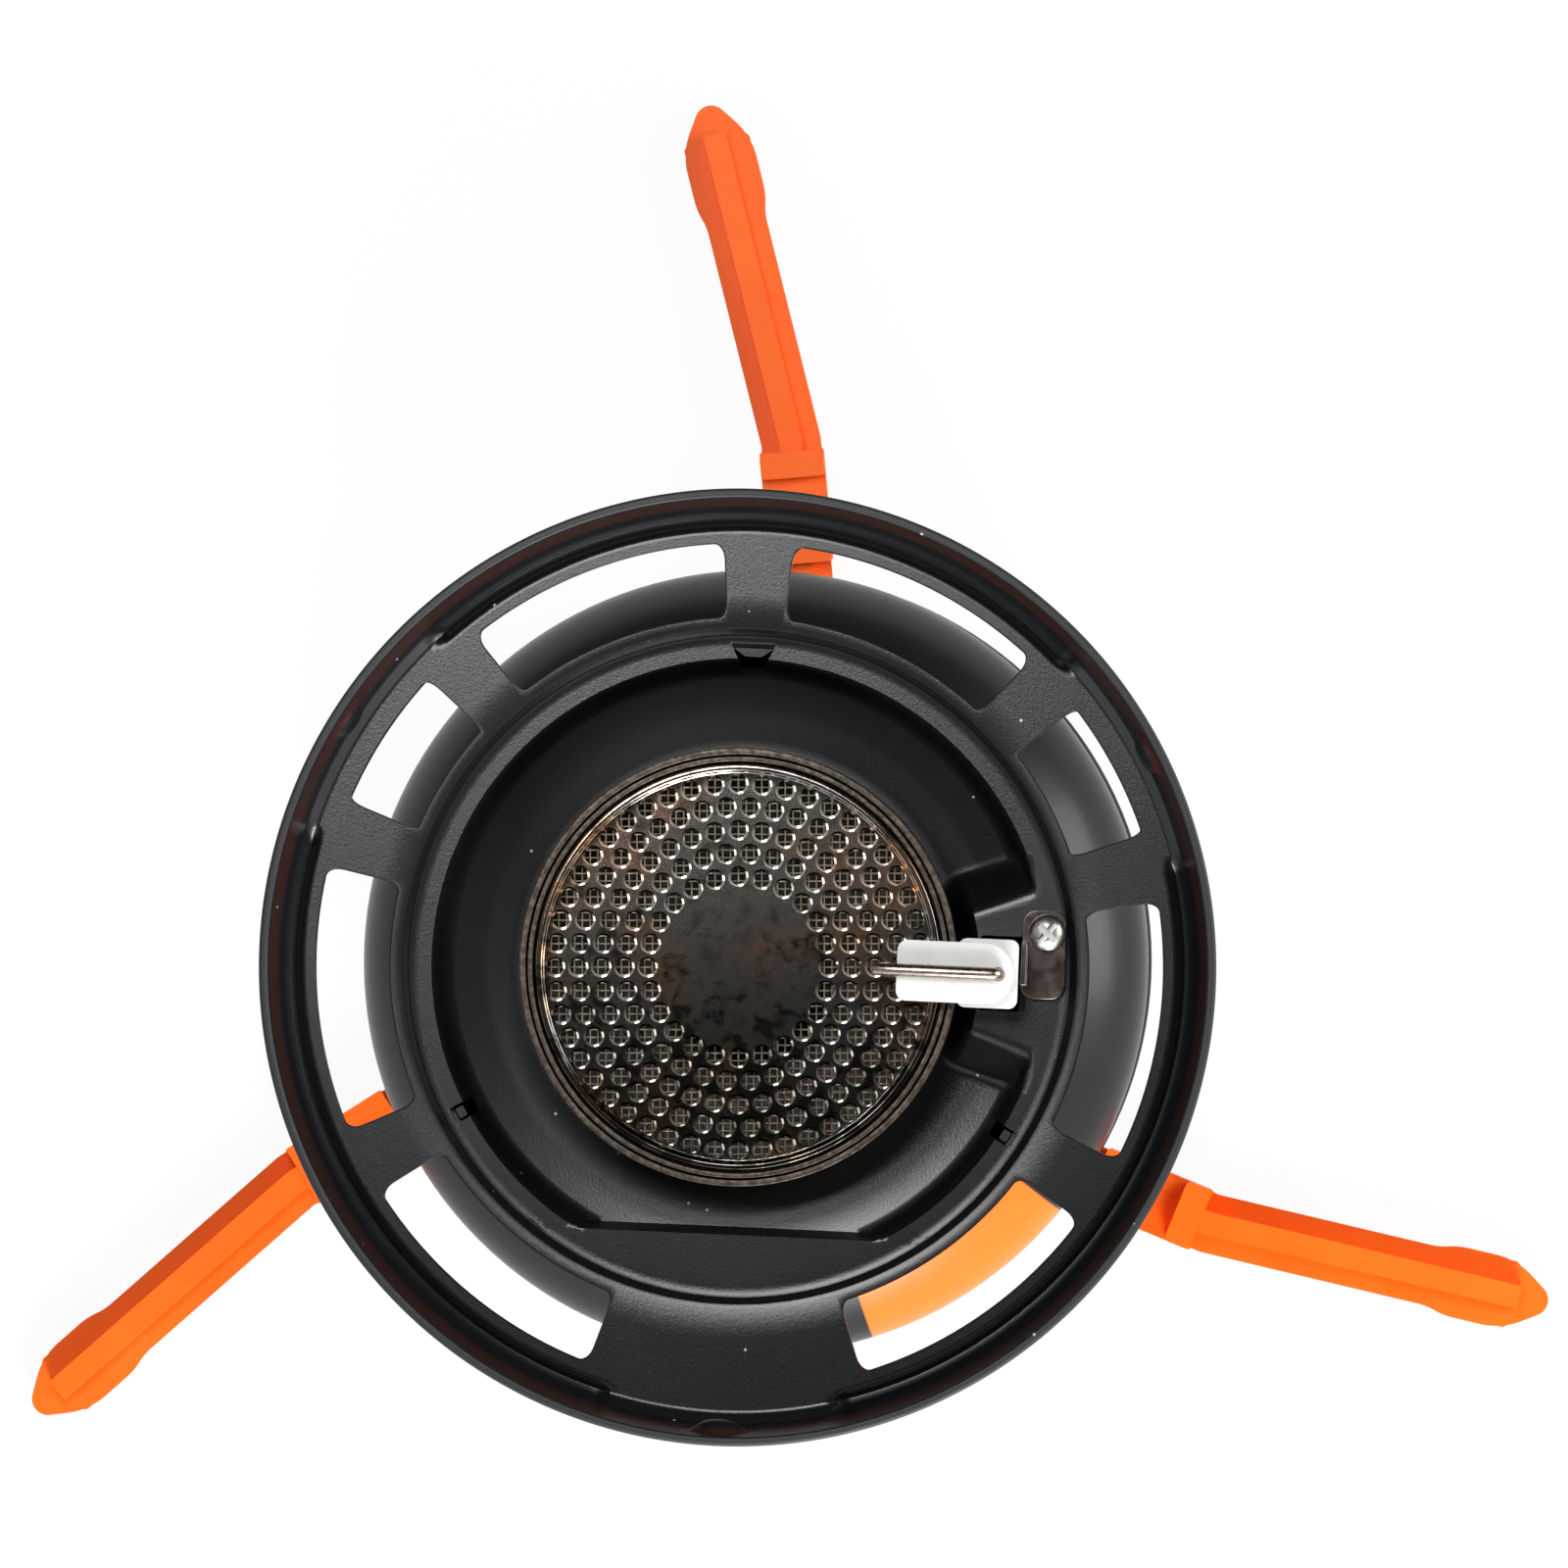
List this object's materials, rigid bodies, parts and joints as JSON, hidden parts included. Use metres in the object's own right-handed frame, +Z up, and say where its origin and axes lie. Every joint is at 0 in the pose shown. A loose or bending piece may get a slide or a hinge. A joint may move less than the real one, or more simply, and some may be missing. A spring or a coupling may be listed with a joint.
{
  "type": "backpacking stove",
  "caption": "Stove with a perforated burner in a pressed, windowed pan, needle valve with folding wire handle, push igniter, screwed onto a gas canister that stands in a folding leg stabiliser.",
  "frame": {"origin": "on the stove's axis, in the underside of the stabiliser's hub, which is the ground", "axes": "+Z up the stove's axis; +Y towards the pan's bridge with the wide tab hole, -Y towards the valve handle and the igniter button, +X towards the electrode"},
  "size_m": [0.1769, 0.1568, 0.1211],
  "materials": {
    "orange_plastic": "glass-filled nylon, moulded, slight sheen",
    "black_metal": "black anodised, satin",
    "canister_paint": "black lacquer, satin",
    "black_plastic": "moulded nylon, matte",
    "stainless": "stainless steel, heat tinted on the burner",
    "steel": "bright steel",
    "tinplate": "tinned steel, satin",
    "brass": "machined, bright",
    "aluminium": "machined, satin",
    "ceramic": "white glazed alumina ceramic",
    "rubber": "nitrile rubber, matte"
  },
  "bodies": {
    "stabiliser": {"stabiliser_hub": "orange_plastic", "rivet_left": "steel", "rivet_right": "steel"},
    "leg_left": {"leg_left": "orange_plastic"},
    "leg_right": {"leg_right": "orange_plastic"},
    "canister": {"canister_shell": "canister_paint", "canister_bottom": "canister_paint", "valve_cup": "tinplate", "cup_gasket": "rubber", "valve_housing": "aluminium", "stem_gasket": "rubber", "stem_spring": "steel"},
    "stem": {"valve_stem": "brass"},
    "adapter_ring": {"adapter_o_ring": "rubber"},
    "stove": {"valve_body": "brass", "depressor_pin": "brass", "jet": "brass", "gland_nut": "brass", "spindle_o_ring": "rubber", "mixing_tube": "brass", "burner_nut": "steel", "burner_cup": "stainless", "burner_screen": "stainless", "burner_cap": "stainless", "burner_collar": "stainless", "burner_pan": "black_metal", "lower_housing": "black_plastic", "electrode_insulator": "ceramic", "electrode_wire": "steel", "electrode_bracket": "steel", "bracket_screw": "steel", "piezo_body": "black_plastic", "piezo_collar": "black_plastic", "piezo_spring": "steel", "ignition_lead": "black_plastic", "lead_boot": "rubber"},
    "valve_knob": {"valve_spindle": "steel", "handle_block": "aluminium"},
    "handle": {"wire_handle": "steel"},
    "igniter_button": {"piezo_button": "black_plastic"}
  },
  "joints": [
    {"name": "canister_lift", "type": "slide", "parent": "stabiliser", "child": "canister", "axis": [0, 0, 1], "range_m": [0, 0.09]},
    {"name": "leg_left_fold", "type": "hinge", "parent": "stabiliser", "child": "leg_left", "pos_m": [-0.01601, -0.00211, 0.0034], "axis": [0, 0, 1], "range_deg": [-124, 0]},
    {"name": "leg_right_fold", "type": "hinge", "parent": "stabiliser", "child": "leg_right", "pos_m": [0.00983, -0.01281, 0.0034], "axis": [0, 0, 1], "range_deg": [0, 102]},
    {"name": "stem_rise", "type": "slide", "parent": "canister", "child": "stem", "axis": [0, 0, 1], "range_m": [0, 0.001], "deforming": ["stem_spring"]},
    {"name": "stove_rise", "type": "slide", "parent": "canister", "child": "adapter_ring", "axis": [0, 0, 1], "range_m": [0, 0.00454]},
    {"name": "stove_unscrew", "type": "hinge", "parent": "adapter_ring", "child": "stove", "pos_m": [0, 0, 0.0709], "axis": [0, 0, 1], "range_deg": [0, 1800]},
    {"name": "valve_turn", "type": "hinge", "parent": "stove", "child": "valve_knob", "pos_m": [0, -0.03, 0.0769], "axis": [0, -1, 0], "range_deg": [0, 540]},
    {"name": "handle_fold", "type": "hinge", "parent": "valve_knob", "child": "handle", "pos_m": [0, -0.0372, 0.0769], "axis": [1, 0, 0], "range_deg": [0, 90]},
    {"name": "igniter_press", "type": "slide", "parent": "stove", "child": "igniter_button", "axis": [0, 1, 0], "range_m": [0, 0.004], "stiffness_N_per_m": 300, "springref_m": -0.004, "deforming": ["piezo_spring"]}
  ],
  "couplings": [
    {"joint": "leg_left_fold", "follows": "canister_lift", "rad_per_m": -24},
    {"joint": "leg_right_fold", "follows": "canister_lift", "rad_per_m": 19.7},
    {"joint": "stove_rise", "follows": "stove_unscrew", "m_per_rad": 0.00014436},
    {"joint": "stem_rise", "follows": "stove_unscrew", "m_per_rad": 0.0000318}
  ]
}
